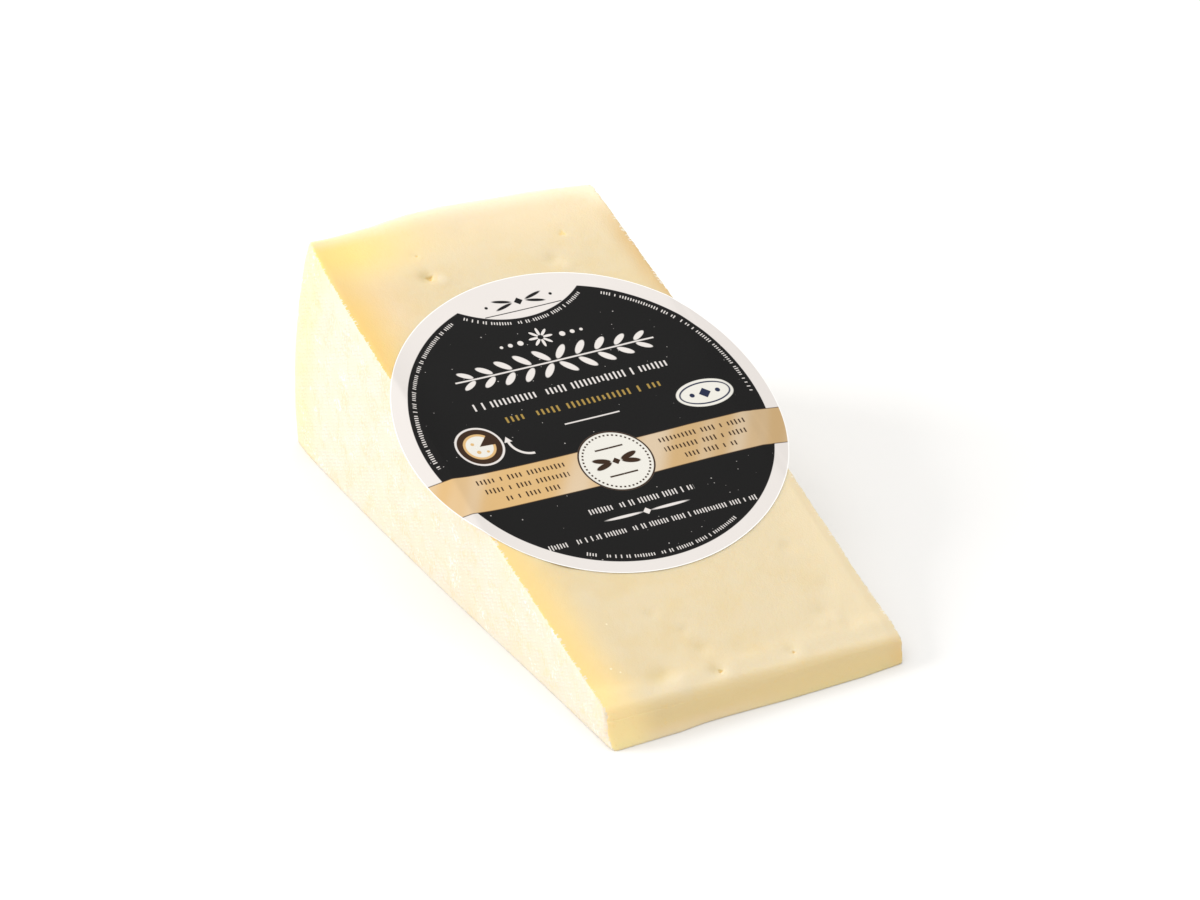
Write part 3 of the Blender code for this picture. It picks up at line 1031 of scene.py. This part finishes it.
dots_angle = p.math("ARCTAN2", p, q - BADGE[1]) * (48 / (2 * math.pi))
dots = inside(0.26 - dots_angle.math("PINGPONG", dots_angle, 0.5)) * ring(*BADGE[:2], 7.5, 0.45)
from_badge = abs(q - BADGE[1])
badge_marks = join(
    ring(*BADGE[:2], 8.45, 0.4),
    dots,
    ellipse(mirrored, from_badge, 3.3, 0.75, 2.1, 0.7, math.radians(16)),
    inside(mirrored + from_badge - 1.0),
    bar(mirrored, 0, 3.4, from_badge, 3.9, 0.45),
)
ink = badge_marks.blend(ink, BROWN)

# %% The pale field at the top
FIELD = 37.6
field_marks = join(
    inside(mirrored + abs(q - FIELD) - 1.1),
    ellipse(mirrored, abs(q - FIELD), 3.9, 0.8, 2.2, 0.42, math.radians(16)),
    ellipse(mirrored, q, 8.0, FIELD, 0.4, 0.4),
    bar(mirrored, 0, 9.5, q, 34.9, 0.25),
)
ink = (field_marks * lens).blend(ink, BLACK)
# A thin pale line along the cut edge: partly the paper's white cut, partly a painted highlight.
cut_edge_and_highlight = inside(LABEL_RADIUS - 0.22 - from_point(0, PRINT_SHIFT))
ink = cut_edge_and_highlight.blend(ink, screen(244, 243, 240))
connect(ink, print_shader, "Base Color")

# %% The paper's own finish, and the unprinted back
tooth = sheet.grain(0.6, 2, seed=37)
connect(0.36 + 0.12 * tooth + 0.06 * black, print_shader, "Roughness")
press = sheet.grain(3.0, 2, seed=41) * 0.7 + tooth * 0.3
sheet_relief = sheet.node("Bump", None, {"Strength": 0.35, "Distance": 0.05 * MM, "Height": press})
connect(sheet_relief, print_shader, "Normal")
print_shader.inputs["Specular IOR Level"].default_value = 0.1
label.data.materials.append(label_print)

label_back, back_shader, back_start = new_material("label_back")
back_place = back_start.node("VectorMath", {"operation": "SCALE"}, {0: back_start, "Scale": 1 / MM})
fibres = back_place.grain(0.7, 3, stretch=(1, 0.35, 1), seed=43)
back_colour = fibres.between(0.35, 0.65).blend(screen(226, 223, 217), screen(236, 234, 229))
connect(back_colour, back_shader, "Base Color")
connect(0.62 + 0.15 * fibres, back_shader, "Roughness")
label.data.materials.append(label_back)
printed = of_faces(label, "normal") @ TOP_NORMAL > 0.5
label.data.polygons.foreach_set("material_index", np.where(printed, 0, 1).astype(np.int32))
label.data.update()
print(label_print.name, "has", len(label_print.node_tree.nodes), "nodes")

# %% [markdown]
# ## Floor, light and camera
#
# The photograph is a bright shot on a white sheet. A large soft light stands behind the wedge on the
# left, so the left rind is nearly white, the top is bright and the front only gets what the room and
# the floor give back. The camera stands a metre away with a long lens, so the edges hardly converge.

# %% The floor
deselect_all()
bpy.ops.mesh.primitive_plane_add(size=4)
floor = bpy.context.object
floor.name = floor.data.name = "floor"
floor_paint, floor_shader, floor_start = new_material("pale_floor")
cloudy = floor_start.node("TexNoise", None, {"Vector": floor_start, "Scale": 9.0, "Detail": 2.0})
connect(cloudy.blend(screen(231, 230, 228), screen(234, 233, 231)), floor_shader, "Base Color")
floor_shader.inputs["Roughness"].default_value = 0.85
floor_shader.inputs["Specular IOR Level"].default_value = 0.2
floor.data.materials.append(floor_paint)

# %% The lights
def area_light(name, stand, size, power, aim=(0, 0, 0.03)):
    data = bpy.data.lights.new(name, "AREA")
    data.energy = power
    data.size = size
    lamp = bpy.data.objects.new(name, data)
    bpy.context.scene.collection.objects.link(lamp)
    lamp.location = stand
    lamp.rotation_euler = (Vector(aim) - lamp.location).to_track_quat("-Z", "Y").to_euler()


area_light("ceiling", (0.0, 0.3, 1.2), 1.6, 9.2)
area_light("window", (-1.35, 0.95, 0.85), 0.7, 18.5)
world = bpy.data.worlds.new("room")
bpy.context.scene.world = world
world.use_nodes = True
room = world.node_tree.nodes["Background"].inputs
room["Color"].default_value = (1, 1, 1, 1)
room["Strength"].default_value = 0.78
bpy.context.scene.view_settings.view_transform = "Standard"

# %% The camera
ELEVATION = math.radians(30.35)
AZIMUTH = math.radians(-28.088)
DISTANCE = 1096.7
TARGET = Vector((1.86, -0.16, 23.89))
camera_data = bpy.data.cameras.new("camera")
camera_data.lens = 150
camera_data.sensor_width = 36
camera = bpy.data.objects.new("camera", camera_data)
bpy.context.scene.collection.objects.link(camera)
bpy.context.scene.camera = camera
level = math.cos(ELEVATION)
back = Vector((math.sin(AZIMUTH) * level, -math.cos(AZIMUTH) * level, math.sin(ELEVATION)))
right = Vector((0, 0, 1)).cross(back).normalized()
view_axes = Matrix((right, back.cross(right), back)).transposed().to_4x4()
camera.matrix_world = Matrix.Translation((TARGET + back * DISTANCE) * MM) @ view_axes
print("camera at", camera.matrix_world.translation)
